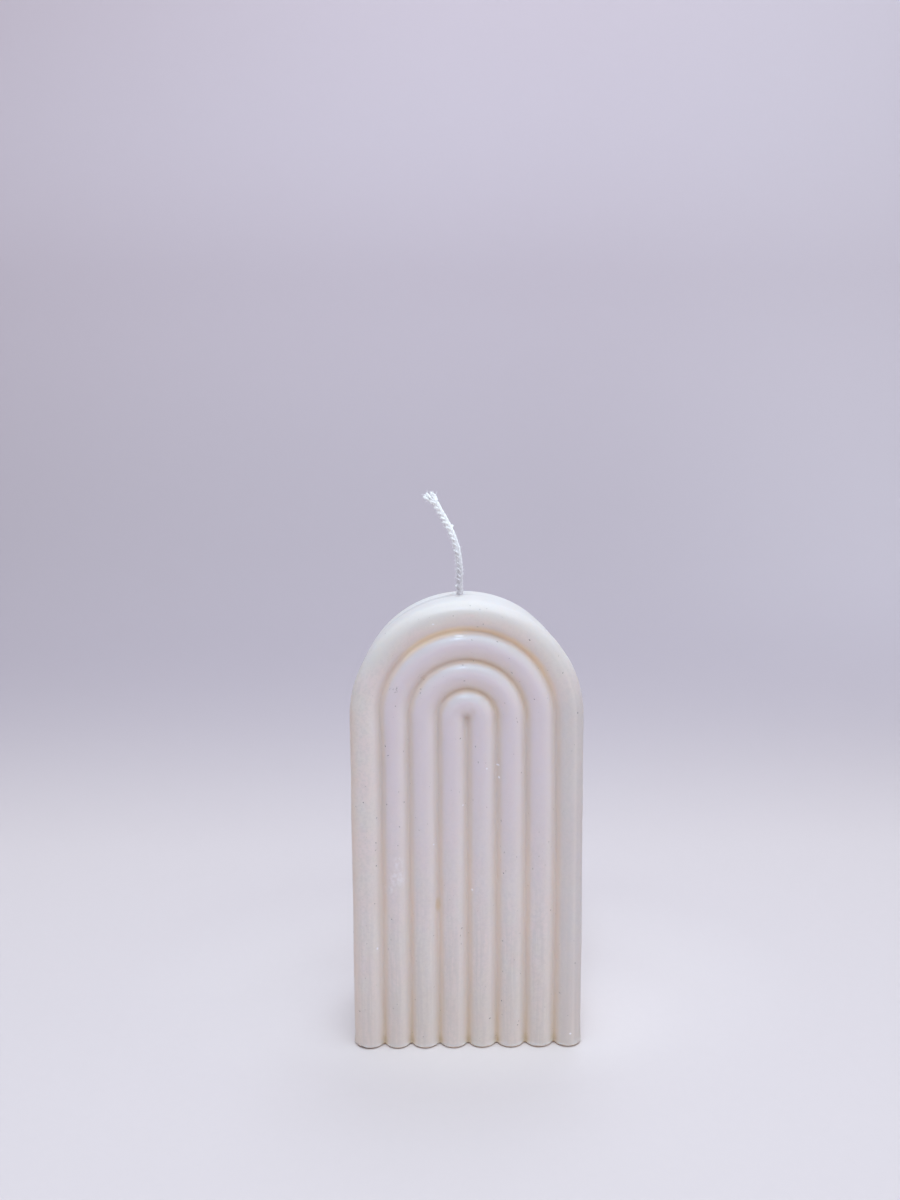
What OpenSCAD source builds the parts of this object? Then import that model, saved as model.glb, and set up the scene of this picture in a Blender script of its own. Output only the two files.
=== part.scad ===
// Ribbed arch candle: one cast wax body with a cotton wick cast into it.
// Millimetres, +Z up, origin at the middle of the base, front ribs facing -Y.

/* [Wax body] */
// Width across the two outer legs
candle_w = 60; // [50:1:80]
// Height of the wax from base to crown
candle_h = 118; // [90:1:160]
// Thickness from the crests of the front ribs to the crests of the back ribs
candle_t = 31.5; // [26:0.5:40]
// Number of nested arches on each face
arches = 4; // [3:1:5]
// Depth of the grooves between the ribs
groove_depth = 2.2; // [1:0.1:2.6]
// Width of the flat at the bottom of each groove
groove_floor = 0.8; // [0.2:0.1:1.6]

/* [Wick] */
// Diameter of the cotton wick
wick_d = 2; // [1.5:0.1:2.4]
// How far the wick stands off the middle of the crown, left is negative
wick_x = -1.4; // [-3:0.1:3]
// Gap between the cast-in stretch of the wick and the free stretch that bends
bend_gap = 0.3; // [0.2:0.05:0.6]

/* [Hidden] */

// Round surfaces
$fn = 96;
// Clearance by which cutters pass through the wax
through = 2;

// Wax: outer radius of the arch, which is also half the width
arch_r = candle_w / 2;
// Height at which the legs turn into the arch
spring_z = candle_h - arch_r;
// Width of one rib with its groove
rib_pitch = arch_r / arches;
// Half the width of an inner rib where it meets the groove floor
rib_half = (rib_pitch - groove_floor) / 2;
// Radius of the inner ribs, from their width and height
rib_r = (rib_half * rib_half + groove_depth * groove_depth) / (2 * groove_depth);
// Radius of the outermost rib, which rolls over into the edge of the candle
edge_r = rib_pitch / 2;

// Wick: radius, and the height at which the cast-in stretch ends flush with the crown
wick_r = wick_d / 2;
stem_top = spring_z + sqrt(arch_r * arch_r - pow(abs(wick_x) + wick_r, 2));
// Centre of the bend, one wick radius above the gap
pivot_z = stem_top + bend_gap + wick_r;
// Route of the free stretch from the centre of the bend, as steps to the right and up
wick_route = [
    [0, 0], [0, 2], [0, 4], [0, 6], [-0.1, 8], [-0.4, 10], [-0.8, 12], [-1.4, 14],
    [-2.2, 16], [-3.2, 18], [-4.3, 20], [-5.2, 21.5], [-6.1, 23], [-7.1, 24.5], [-7.9, 25.5]
];
// Sides of the free stretch's tube, and the angles of the rings that round its lower end
wick_sides = 8;
root_angles = [-75, -50, -25];

// Half of the candle's plan outline, from the middle line out to one edge
module half_plan() {
    core_y = candle_t / 2 - groove_depth;
    edge_y = candle_t / 2 - edge_r;
    intersection() {
        translate([0, -candle_t]) square([candle_w, 2 * candle_t]);
        union() {
            translate([0, -core_y]) square([arch_r - edge_r, 2 * core_y]);
            translate([0, -edge_y]) square([arch_r, 2 * edge_y]);
            for (side = [-1, 1]) {
                translate([arch_r - edge_r, side * edge_y]) circle(r = edge_r);
                for (i = [0 : arches - 2])
                    translate([(i + 0.5) * rib_pitch, side * (candle_t / 2 - rib_r)]) circle(r = rib_r);
            }
        }
    }
}

// The casting: straight legs, then the same outline turned over the top, with the hole the wick fills
module wax_body() {
    color("ivory")
    difference() {
        union() {
            linear_extrude(spring_z) {
                half_plan();
                mirror([1, 0]) half_plan();
            }
            translate([0, 0, spring_z]) rotate([90, 0, 0]) rotate_extrude(angle = 180) half_plan();
        }
        translate([wick_x, 0, -through]) cylinder(d = wick_d, h = candle_h + 2 * through);
    }
}

// The stretch of wick held in the wax, trimmed flush at the base
module wick_stem() {
    color("whitesmoke")
    translate([wick_x, 0, 0]) cylinder(d = wick_d, h = stem_top);
}

// Direction of the route at point i
function route_step(i) =
    let (last = len(wick_route) - 1)
    let (d = wick_route[min(i + 1, last)] - wick_route[max(i - 1, 0)])
    d / norm(d);

// One ring of the tube: its centre and direction in the route's plane, and its radius
function wick_ring(centre, dir, r) = [
    for (s = [0 : wick_sides - 1])
        let (a = 360 * s / wick_sides)
        [centre[0] + r * cos(a) * dir[1], r * sin(a), centre[1] - r * cos(a) * dir[0]]
];

// The free stretch of wick, one tube with a rounded lower end that turns on the centre of the bend
module wick_tail() {
    root_rings = [for (a = root_angles) wick_ring([0, wick_r * sin(a)], [0, 1], wick_r * cos(a))];
    route_rings = [for (i = [0 : len(wick_route) - 1]) wick_ring(wick_route[i], route_step(i), wick_r)];
    rings = concat(root_rings, route_rings);
    last = len(rings) - 1;
    points = [for (ring = rings) for (p = ring) p];
    walls = [
        for (k = [0 : last - 1])
            for (s = [0 : wick_sides - 1])
                let (t = (s + 1) % wick_sides)
                let (a = k * wick_sides)
                let (b = a + wick_sides)
                each [[a + s, b + s, b + t], [a + s, b + t, a + t]]
    ];
    bottom = [for (s = [1 : wick_sides - 2]) [0, s, s + 1]];
    top = [for (s = [1 : wick_sides - 2]) [last * wick_sides, last * wick_sides + s + 1, last * wick_sides + s]];
    color("white")
    translate([wick_x, 0, pivot_z]) polyhedron(points = points, faces = concat(walls, bottom, top));
}

wax_body();
wick_stem();
wick_tail();
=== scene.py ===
"""Ribbed arch candle: cast ivory wax with nested arch ribs, and a braided cotton wick frayed at the tip."""

import math
import random

import bpy
import numpy as np
from mathutils import Matrix, Vector, noise


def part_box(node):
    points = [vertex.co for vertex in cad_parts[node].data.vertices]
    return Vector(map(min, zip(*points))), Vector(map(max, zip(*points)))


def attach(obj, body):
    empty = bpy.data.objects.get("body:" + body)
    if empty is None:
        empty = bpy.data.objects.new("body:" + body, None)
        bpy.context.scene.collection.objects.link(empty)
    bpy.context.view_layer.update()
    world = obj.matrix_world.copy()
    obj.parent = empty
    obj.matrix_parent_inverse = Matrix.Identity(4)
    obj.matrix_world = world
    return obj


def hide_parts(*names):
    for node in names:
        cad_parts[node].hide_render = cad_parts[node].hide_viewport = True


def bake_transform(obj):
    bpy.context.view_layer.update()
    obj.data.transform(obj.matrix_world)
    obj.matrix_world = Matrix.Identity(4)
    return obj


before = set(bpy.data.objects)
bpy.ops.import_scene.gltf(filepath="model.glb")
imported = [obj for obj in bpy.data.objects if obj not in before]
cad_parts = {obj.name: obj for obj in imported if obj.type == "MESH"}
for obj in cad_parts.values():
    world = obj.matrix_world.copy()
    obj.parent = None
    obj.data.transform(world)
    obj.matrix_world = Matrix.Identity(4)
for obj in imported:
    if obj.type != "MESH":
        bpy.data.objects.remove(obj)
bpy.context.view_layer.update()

MM = 0.001

# Sizes of the wax, from the frame and the ribs' own shape
_, wax_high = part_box("wax_body")
HALF_W = wax_high.x
HALF_T = wax_high.y
WAX_H = wax_high.z
SPRING_Z = WAX_H - HALF_W
ARCHES = 4
PITCH = HALF_W / ARCHES
GROOVE_DEPTH = 2.2 * MM
GROOVE_R = 0.6 * MM
RIB_R = ((PITCH / 2) ** 2 + GROOVE_DEPTH**2) / (2 * GROOVE_DEPTH) - GROOVE_R
EDGE_R = PITCH / 2
BASE_ROLL = 0.45 * MM

# Sizes of the wick, with the same route as the solid: steps right and up from the centre of the bend
stem_low, stem_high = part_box("wick_stem")
WICK_R = (stem_high.x - stem_low.x) / 2
WICK_X = (stem_high.x + stem_low.x) / 2
BEND_GAP = 0.3 * MM
PIVOT = Vector((WICK_X, 0, stem_high.z + BEND_GAP + WICK_R))
WICK_ROUTE_MM = [
    (0, 0), (0, 2), (0, 4), (0, 6), (-0.1, 8), (-0.4, 10), (-0.8, 12), (-1.4, 14),
    (-2.2, 16), (-3.2, 18), (-4.3, 20), (-5.2, 21.5), (-6.1, 23), (-7.1, 24.5), (-7.9, 25.5),
]
WICK_ROOT_DEPTH = 4 * MM


# Camera

# Where the lens is, how far it turns right, looks down and rolls, and its length on a 36 mm long side
CAMERA_AT = Vector((-6.5, -238.6, 141.5)) * MM
CAMERA_YAW = math.radians(0.61)
CAMERA_DOWN = math.radians(5.92)
CAMERA_ROLL = math.radians(-0.33)
CAMERA_LENS = 27


def make_camera():
    camera = bpy.data.objects.new("camera", bpy.data.cameras.new("camera"))
    camera.data.lens = CAMERA_LENS
    camera.data.clip_start = 0.01
    bpy.context.collection.objects.link(camera)
    level = math.cos(CAMERA_DOWN)
    forward = Vector((math.sin(CAMERA_YAW) * level, math.cos(CAMERA_YAW) * level, -math.sin(CAMERA_DOWN)))
    flat_right = Vector((math.cos(CAMERA_YAW), -math.sin(CAMERA_YAW), 0))
    flat_up = flat_right.cross(forward)
    right = flat_right * math.cos(CAMERA_ROLL) + flat_up * math.sin(CAMERA_ROLL)
    up = flat_up * math.cos(CAMERA_ROLL) - flat_right * math.sin(CAMERA_ROLL)
    axes = Matrix((right, up, -forward)).transposed().to_4x4()
    camera.matrix_world = Matrix.Translation(CAMERA_AT) @ axes
    bpy.context.scene.camera = camera


# Mesh helpers

# How far a tube may follow its reference direction before another is taken
NEAR_PARALLEL = 0.9
# Fine points per given point of a smooth curve, before it is cut into even steps
CURVE_FINENESS = 40


def mesh_object(name, points, faces, attributes=None):
    """A smooth-shaded mesh object with float attributes on its points."""
    mesh = bpy.data.meshes.new(name)
    mesh.from_pydata([tuple(p) for p in points], [], faces)
    mesh.shade_smooth()
    for key, values in (attributes or {}).items():
        layer = mesh.attributes.new(key, "FLOAT", "POINT")
        layer.data.foreach_set("value", np.asarray(values, np.float32))
    obj = bpy.data.objects.new(name, mesh)
    bpy.context.collection.objects.link(obj)
    return obj


class Tubes:
    """Gathers closed tubes into one mesh, with one value for each point."""

    def __init__(self):
        self.points = []
        self.faces = []
        self.values = []

    def add(self, line, radii, sides, values):
        """A tube along line, with a radius and a value at each of its points."""
        line = np.asarray(line, float)
        tangents = np.gradient(line, axis=0)
        tangents /= np.linalg.norm(tangents, axis=1)[:, None]
        reference = np.array([0.0, 1.0, 0.0])
        if abs(tangents[:, 1]).max() > NEAR_PARALLEL:
            reference = np.array([1.0, 0.0, 0.0])
        across = np.cross(tangents, reference)
        across /= np.linalg.norm(across, axis=1)[:, None]
        other = np.cross(tangents, across)
        first = len(self.points)
        for centre, a, b, radius, value in zip(line, across, other, radii, values):
            for side in range(sides):
                turn = 2 * math.pi * side / sides
                self.points.append(centre + radius * (math.cos(turn) * a + math.sin(turn) * b))
                self.values.append(value)
        last = first + (len(line) - 1) * sides
        for start in range(first, last, sides):
            for side in range(sides):
                after = (side + 1) % sides
                lower = (start + side, start + after)
                upper = (start + sides + after, start + sides + side)
                self.faces.append(lower + upper)
        self.faces.append(tuple(range(first + sides - 1, first - 1, -1)))
        self.faces.append(tuple(range(last, last + sides)))


def smooth_line(points, step):
    """A smooth curve through the points, cut into even steps."""
    points = np.asarray(points, float)
    knots = np.concatenate([[0], np.cumsum(np.linalg.norm(np.diff(points, axis=0), axis=1))])
    slopes = np.gradient(points, knots, axis=0)
    fine = np.linspace(0, knots[-1], CURVE_FINENESS * len(points))
    k = np.clip(np.searchsorted(knots, fine, side="right") - 1, 0, len(points) - 2)
    width = knots[k + 1] - knots[k]
    t = ((fine - knots[k]) / width)[:, None]
    width = width[:, None]
    curve = (2 * t**3 - 3 * t**2 + 1) * points[k] + (t**3 - 2 * t**2 + t) * width * slopes[k]
    curve += (3 * t**2 - 2 * t**3) * points[k + 1] + (t**3 - t**2) * width * slopes[k + 1]
    run = np.concatenate([[0], np.cumsum(np.linalg.norm(np.diff(curve, axis=0), axis=1))])
    even = np.linspace(0, run[-1], max(2, round(run[-1] / step)) + 1)
    return np.stack([np.interp(even, run, curve[:, axis]) for axis in range(3)], 1), even


# Wick

# The plait: three strands of five yarns, and the length in which a strand comes back to its place
STRANDS = 3
YARNS = 5
PLAIT_LENGTH = 4.2 * MM
PLAIT_HALF_W = 0.5 * MM
PLAIT_HALF_T = 0.26 * MM
YARN_OFFSET = 0.17 * MM
YARN_R = 0.23 * MM
YARN_TURNS_PER_M = 260
YARN_WANDER = 0.06 * MM
YARN_WANDER_WAVE = 1.5 * MM
# Radius of the filling under the plait, and of the strands inside the wax
FILL_R = 0.62 * MM
CORE_STRAND_R = 0.42 * MM
CORE_TRIM = 0.3 * MM
# Steps along the free stretch, the stretch in the wax and a stitch
WICK_STEP = 0.2 * MM
CORE_STEP = 0.5 * MM
STITCH_FINE = 0.12 * MM
# Heights above the crown to which wax has soaked into the cotton, fully and at all
SOAK_FULL = 4.5 * MM
SOAK_END = 17 * MM
# At heights above the crown: how full the plait is, how far the outer yarns stand out, and how far the
# middle drifts to the right
WICK_HEIGHTS = np.array([0, 3, 6, 9, 13, 16, 23, 27]) * MM
GIRTH = [1.02, 0.98, 0.78, 0.8, 0.76, 0.7, 0.72, 0.8]
SPAN = [1.08, 1.04, 0.88, 1.02, 1.0, 1.0, 1.02, 1.15]
DRIFT = np.array([0, 0, 0.08, -0.05, -0.1, -0.15, -0.15, -0.1]) * MM
# A strand of three yarns up the right side: its place across and through, its twist, and how much of the
# soaked wax shows on it
SIDE_YARNS = 3
SIDE_PLACE = (0.4 * MM, -0.24 * MM)
SIDE_OFFSET = 0.24 * MM
SIDE_R = 0.28 * MM
SIDE_TWIST = 3.6 * MM
SIDE_SOAK = 0.85
# Stitches that end as teeth on the left edge: spacing, heights above the crown, how they vary, and one
# stitch's course across, through and along the wick
STITCH_STEP = 1.6 * MM
STITCH_R = 0.27 * MM
STITCH_LOW = 0.8 * MM
STITCH_HIGH = 26.5 * MM
STITCH_SHIFT = 0.25 * MM
STITCH_SIZES = (0.92, 1.12)
STITCH_MM = [
    (0.3, -0.4, -1.0), (0, -0.5, -0.6), (-0.3, -0.46, -0.2), (-0.62, -0.3, 0.05), (-0.86, -0.05, 0.2),
]
# Shares of a stitch's length and of its radius there, from its root to its point
STITCH_PLACES = [0, 0.2, 0.7, 0.92, 1]
STITCH_SWELL = [0.5, 1, 0.95, 0.6, 0.3]
# Snagged yarns and a bead of wax: height above the crown, course and radius
SNAG_SOAK = 0.4
SNAGS_MM = [
    (18.3, [(0.4, -0.3, -0.6), (0.8, -0.25, -0.3), (1.15, -0.15, 0), (1.0, 0, 0.3), (0.5, 0.1, 0.3)], 0.19),
    (12.5, [(0.4, -0.3, -0.5), (0.75, -0.3, -0.1), (0.8, -0.2, 0.3), (0.5, -0.1, 0.5)], 0.2),
    (2.4, [(-0.7, -0.5, -0.3), (-0.95, -0.5, 0), (-0.8, -0.4, 0.3)], 0.22),
]
# The frayed tip: how much has opened, how wide its neck is and how far the yarns start below it, where
# they bend, and where each yarn ends, right of, behind and above the bend
FRAY_LENGTH = 1.8 * MM
NECK_HALF = 0.9 * MM
NECK_OVERLAP = 0.6 * MM
NECK_FLATTENING = 0.8
KNEE = 0.65
YARN_ENDS_MM = [
    (-9.5, -0.1, 24.95), (-9.2, 0.2, 25.45), (-8.7, -0.1, 25.9), (-8.95, -0.3, 24.5), (-8.3, 0.1, 24.15),
    (-8.6, 0.35, 25.2), (-8.2, -0.4, 25.1), (-7.5, 0.0, 26.15), (-6.95, -0.25, 25.95), (-6.5, 0.15, 25.6),
    (-7.3, 0.3, 25.7), (-7.2, -0.45, 25.2), (-6.15, -0.1, 25.0), (-7.7, 0.2, 24.6), (-7.9, -0.2, 23.9),
]
END_R = 0.29 * MM
END_PLACES = [0, 0.3, 0.8, 0.93, 1]
END_SWELL = [0.9, 1.0, 1.0, 0.85, 0.4]
# Loose fibres at each yarn's end: number, scatter, length and radii from root to point
END_FIBRES = 7
END_FIBRE_SCATTER = 0.16 * MM
END_FIBRE_LENGTH = 0.5 * MM
END_FIBRE_R = (0.06 * MM, 0.025 * MM)
# Stray fibres on the dry part: number, where they start across and through, lengths and radii
FUZZ_FIBRES = 320
FUZZ_START = (0.8 * MM, 0.52 * MM)
FUZZ_LENGTHS_MM = (0.25, 0.8)
FUZZ_BENDS = (-0.6, 1.0)
FUZZ_R = (0.04 * MM, 0.014 * MM)
FUZZ_POINTS = 4
# Sides of the tubes
FILL_SIDES = 12
STRAND_SIDES = 8
YARN_SIDES = 6
FIBRE_SIDES = 4
WICK_SEED = 5


def plait_offset(run, strand):
    """Offsets of a strand's middle, across and through the plait, along its run."""
    phase = 2 * math.pi * (run / PLAIT_LENGTH + strand / STRANDS)
    return PLAIT_HALF_W * np.sin(phase), PLAIT_HALF_T * np.sin(2 * phase)


def plait_axes(line):
    """Directions along, across and through the plait at each point of a line in the X-Z plane."""
    along = np.gradient(line, axis=0)
    along /= np.linalg.norm(along, axis=1)[:, None]
    through = np.broadcast_to(np.array([0.0, 1.0, 0.0]), line.shape)
    return along, np.cross(through, along), through


def wick_path():
    root = PIVOT.z - WICK_R
    points = [(WICK_X, 0, root - WICK_ROOT_DEPTH), (WICK_X, 0, root)]
    return points + [(PIVOT.x + x * MM, 0, PIVOT.z + z * MM) for x, z in WICK_ROUTE_MM]


def add_plait(tubes, line, run, girth, soak, rng):
    """The plaited yarns along the line, on a filling that keeps light from passing through."""
    _, across, through = plait_axes(line)
    tubes.add(line, girth * FILL_R, FILL_SIDES, soak)
    for strand in range(STRANDS):
        side, deep = plait_offset(run, strand)
        for yarn in range(YARNS):
            turn = 2 * math.pi * (yarn / YARNS + run * YARN_TURNS_PER_M) + rng.uniform(0, 1)
            wander = [noise.noise((s / YARN_WANDER_WAVE, 7.0 * strand, 3.0 * yarn)) for s in run]
            spacing = YARN_OFFSET + YARN_WANDER * np.array(wander)
            a = girth * (side + spacing * np.cos(turn))
            b = girth * (deep + spacing * np.sin(turn))
            yarn_line = line + across * a[:, None] + through * b[:, None]
            tubes.add(yarn_line, girth * YARN_R, YARN_SIDES, soak)


def add_side_strand(tubes, line, above, span, soak):
    """A twisted strand that runs up the right side."""
    _, across, through = plait_axes(line)
    for number in range(SIDE_YARNS):
        turn = 2 * math.pi * (above / SIDE_TWIST + number / SIDE_YARNS)
        side = span * (SIDE_PLACE[0] + SIDE_OFFSET * np.cos(turn))
        deep = span * (SIDE_PLACE[1] + SIDE_OFFSET * np.sin(turn))
        strand_line = line + across * side[:, None] + through * deep[:, None]
        tubes.add(strand_line, span * SIDE_R, STRAND_SIDES, SIDE_SOAK * soak)


def add_course(tubes, axes, centre, course_mm, size, radius, soak):
    """A short plump yarn on a course across, through and along the wick at one place."""
    along, across, through = axes
    course, _ = smooth_line(np.array(course_mm) * MM * (size, size, 1), STITCH_FINE)
    curve = centre + course @ np.array([across, through, along])
    swell = np.interp(np.linspace(0, 1, len(curve)), STITCH_PLACES, STITCH_SWELL)
    tubes.add(curve, radius * swell, STRAND_SIDES, np.full(len(curve), soak))


def add_stitches(tubes, line, above, span, soak, rng):
    """Plump stitches that slant up to the left across the front, and the snags."""
    axes = np.stack(plait_axes(line), 1)
    for height in np.arange(STITCH_LOW, STITCH_HIGH, STITCH_STEP):
        at = int(np.argmin(abs(above - height - rng.uniform(-STITCH_SHIFT, STITCH_SHIFT))))
        size = span[at] * rng.uniform(*STITCH_SIZES)
        add_course(tubes, axes[at], line[at], STITCH_MM, size, size * STITCH_R, soak[at])
    for height, course, radius in SNAGS_MM:
        at = int(np.argmin(abs(above - height * MM)))
        add_course(tubes, axes[at], line[at], course, 1.0, radius * MM, SNAG_SOAK * soak[at])


def add_yarn_ends(tubes, neck, way, rng):
    """The cut tip: yarns that fan out to the left and upwards, each with loose fibres."""
    steps = np.linspace(0, 1, 12)[:, None]
    across = np.array([way[2], 0, -way[0]])
    ends = np.array(PIVOT) + np.array(YARN_ENDS_MM) * MM
    places = (ends - neck) @ across
    ranks = 2 * (places - places.min()) / (places.max() - places.min()) - 1
    for end, rank in zip(ends, ranks):
        begin = neck - NECK_OVERLAP * way + NECK_HALF * rank * across + (0, NECK_FLATTENING * end[1], 0)
        knee = begin + way * KNEE * np.linalg.norm(end - begin)
        curve = (1 - steps) ** 2 * begin + 2 * steps * (1 - steps) * knee + steps**2 * end
        radii = END_R * np.interp(steps[:, 0], END_PLACES, END_SWELL)
        tubes.add(curve, radii, STRAND_SIDES, np.zeros(len(curve)))
        ahead = (curve[-1] - curve[-2]) / np.linalg.norm(curve[-1] - curve[-2])
        for _ in range(END_FIBRES):
            loose = END_FIBRE_SCATTER * np.array([rng.gauss(0, 1), rng.gauss(0, 1), rng.gauss(0, 1)])
            fibre = curve[-3] + loose + steps[::3] * (END_FIBRE_LENGTH * ahead + loose)
            tubes.add(fibre, np.linspace(*END_FIBRE_R, len(fibre)), FIBRE_SIDES, np.zeros(len(fibre)))


def add_fuzz(tubes, line, above, girth, rng):
    """Short stray fibres that stand off the dry part of the wick."""
    along, across, through = plait_axes(line)
    dry = np.flatnonzero(above > SOAK_FULL)
    steps = np.linspace(0, 1, FUZZ_POINTS)[:, None]
    for _ in range(FUZZ_FIBRES):
        at = int(rng.choice(dry))
        turn = rng.uniform(0, 2 * math.pi)
        a, b = math.cos(turn), math.sin(turn)
        start = line[at] + girth[at] * (FUZZ_START[0] * a * across[at] + FUZZ_START[1] * b * through[at])
        bend = along[at] * rng.uniform(*FUZZ_BENDS)
        length = rng.uniform(*FUZZ_LENGTHS_MM) * MM
        curve = start + length * (steps * (a * across[at] + b * through[at]) + steps**2 * bend)
        tubes.add(curve, np.linspace(*FUZZ_R, FUZZ_POINTS), FIBRE_SIDES, np.zeros(FUZZ_POINTS))


def make_wick():
    """The free stretch of the wick: plaited yarns, loose fibres and a frayed tip, as one piece."""
    rng = random.Random(WICK_SEED)
    path = wick_path()
    line, run = smooth_line(path, WICK_STEP)
    plaited = run < run[-1] - FRAY_LENGTH
    neck, way = line[plaited][-1], line[plaited][-1] - line[plaited][-2]
    line, run = line[plaited], run[plaited]
    above = run - WICK_ROOT_DEPTH
    soak = np.clip((SOAK_END - above) / (SOAK_END - SOAK_FULL), 0, 1)
    girth = np.interp(above, WICK_HEIGHTS, GIRTH)
    span = np.interp(above, WICK_HEIGHTS, SPAN)
    line = line + plait_axes(line)[1] * np.interp(above, WICK_HEIGHTS, DRIFT)[:, None]
    tubes = Tubes()
    add_plait(tubes, line, run, girth, soak, rng)
    add_side_strand(tubes, line, above, span, soak)
    add_stitches(tubes, line, above, span, soak, rng)
    add_yarn_ends(tubes, neck, way / np.linalg.norm(way), rng)
    add_fuzz(tubes, line, above, girth, rng)
    return mesh_object("wick", tubes.points, tubes.faces, {"soak": tubes.values}), path


def make_wick_core():
    """The stretch of wick in the wax, as plain plaited strands cut flush with the base."""
    tubes = Tubes()
    ends = [(WICK_X, 0, CORE_TRIM), (WICK_X, 0, stem_high.z - WICK_ROOT_DEPTH)]
    line, run = smooth_line(ends, CORE_STEP)
    _, across, through = plait_axes(line)
    for strand in range(STRANDS):
        side, deep = plait_offset(run, strand)
        strand_line = line + across * side[:, None] + through * deep[:, None]
        tubes.add(strand_line, np.full(len(run), CORE_STRAND_R), STRAND_SIDES, np.ones(len(run)))
    return mesh_object("wick_core", tubes.points, tubes.faces, {"soak": tubes.values})


# Wax

LEG_STEP = 0.75 * MM
ARCH_STEP = 0.75 * MM
# Closer rows and columns round the wick and the mould's seam
CROWN_STEP = 0.3 * MM
CROWN_HALF = 5 * MM
BAND_STEP = 0.2 * MM
BAND_LOW = -2.6 * MM
BAND_HIGH = 4.4 * MM
BAND_COARSE = 7
POINTS_PER_RIB = 18
CORNER_POINTS = 10
BASE_ROWS_MM = [0, 0.02, 0.06, 0.12, 0.2, 0.3, 0.42, 0.56, 0.72, 0.9, 1.15, 1.5, 2.0, 2.5]
LEG_START = 3.1 * MM
BASE_SINK = 0.45 * MM
# The lip above the rolled foot: how far it stands out, its height and its half width
LIP = 0.2 * MM
LIP_Z = 0.65 * MM
LIP_HALF = 0.28 * MM
# Unevenness of the casting, as wavelengths and heights
RIPPLES_MM = [(24, 0.11), (8, 0.04), (2.6, 0.012)]
# Dents, as centres, half sizes and heights: one by the middle groove, and flats on the right shoulder
DENTS_MM = [
    ((2.4, -15, 62), (1.3, 4, 15), -0.14),
    ((20.0, 0, 110.5), (2.5, 12, 2.5), -0.25),
    ((25.0, 0, 104.6), (2.5, 12, 2.5), -0.25),
]
# Ragged edges of the two middle grooves on the front: their middle, half sizes, height and wavelength
RAGGED_X = 3.5 * MM
RAGGED_Z = 55 * MM
RAGGED_HALF_W = 6 * MM
RAGGED_HALF_H = 20 * MM
RAGGED_HEIGHT = 0.22 * MM
RAGGED_WAVE_MM = 2.2
# Chipped corner at the foot of the left leg
CHIP_MM = ((-27.5, -14, 0), (2.2, 2, 1.0), -0.5)
CHIP_WAVE_MM = 1.1
# The mould's seam over the edge of the candle: its place, where the fall towards it begins in front of
# the middle, how sharp its step is, how far the front falls all round and more on the left, and its bead
SEAM_Y = 2.4 * MM
SEAM_FALL = 9 * MM
SEAM_SHARP = 0.08 * MM
SEAM_DROP = 0.05 * MM
SEAM_DROP_LEFT = 0.3 * MM
SEAM_BEAD = 0.06 * MM
SEAM_BEAD_Y = SEAM_Y + 0.3 * MM
SEAM_BEAD_HALF = 0.25 * MM
# The stretch of the seam on the left, from where it fades in to where it fades out
SEAM_LEFT = np.array([-24, -16, -6, 3]) * MM
# Wax drawn up round the wick: a collar, a lip that climbs along the seam, and a dimple in front
COLLAR = 0.3 * MM
COLLAR_R = 0.9 * MM
COLLAR_HALF = 0.45 * MM
CLIMB = 1.0 * MM
CLIMB_Y = 3.4 * MM
CLIMB_HALF = 0.9 * MM
CLIMB_FROM = -7 * MM
CLIMB_RUN = 4.6 * MM
CLIMB_TO = -2.5 * MM
CLIMB_SHARP = 0.1 * MM
DIMPLE_MM = ((-2.2, -1.4, 118), (0.8, 0.7, 3), -0.4)
CROWN_DEPTH = 4 * MM
# Sideways shift of the outer grooves on the front: amounts, places and half widths, where it fades in
# towards the front, and how far above and below the springing it fades out
SHIFT_LEFT = 0.45 * MM
SHIFT_RIGHT = 0.35 * MM
SHIFT_X = 22.5 * MM
SHIFT_HALF = 5 * MM
SHIFT_RIGHT_Z = 50 * MM
SHIFT_RIGHT_HALF = 35 * MM
SHIFT_FRONT = 8 * MM
SHIFT_FRONT_RISE = 3 * MM
SHIFT_FADE = 8 * MM
# Where the edge that carries the seam and the wick begins, and over what width it fades in
EDGE_START = HALF_W - 0.4 * MM
EDGE_RISE = 0.3 * MM
# How far the staining and painted shade stand right in the grooves, towards their shade, and down at the
# crown
STAIN_SHADE_RIGHT = 0.28 * MM
STAIN_SHADE_DOWN = 0.0875 * MM
# Reach of the inner arches, the ribs and the faces, in parts of the half width
INNER_REACH = 0.76
RIBS_REACH = 0.93
FACE_REACH = 0.99
# Start and length of slopes on which light shows: under arches, right of ribs and on top
UNDER_SLOPES = (0, 0.6)
RIGHT_SLOPES = (0.1, 0.5)
TOP_LIGHT_SLOPES = (0.15, 0.5)
RIGHT_SHARE = 0.75
UNDER_START = SPRING_Z - 5 * MM
# How much sooner the outermost arch glows, and where that fades in from its foot and from the left
OUTER_LEAN = 0.25
OUTER_RISE = 20 * MM
OUTER_X = -16 * MM
OUTER_RUN = 10 * MM


def hump(values, middle, half):
    """A smooth hump of height 1 at the middle."""
    return np.exp(-(((values - middle) / half) ** 2))


def ramp(values, start, length):
    """Rises evenly from 0 at the start to 1 at the given length after it."""
    return np.clip((values - start) / length, 0, 1)


def rib_depth(r):
    """How far the face lies below the crests at a distance r from the middle."""
    to_groove = np.abs(r - np.round(r / PITCH) * PITCH)
    half_groove = GROOVE_R * PITCH / 2 / (RIB_R + GROOVE_R)
    groove = GROOVE_DEPTH - GROOVE_R + np.sqrt(GROOVE_R**2 - np.minimum(to_groove, half_groove) ** 2)
    rib = RIB_R - np.sqrt(RIB_R**2 - (PITCH / 2 - np.maximum(to_groove, half_groove)) ** 2)
    return np.where(to_groove < half_groove, groove, rib)


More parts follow.
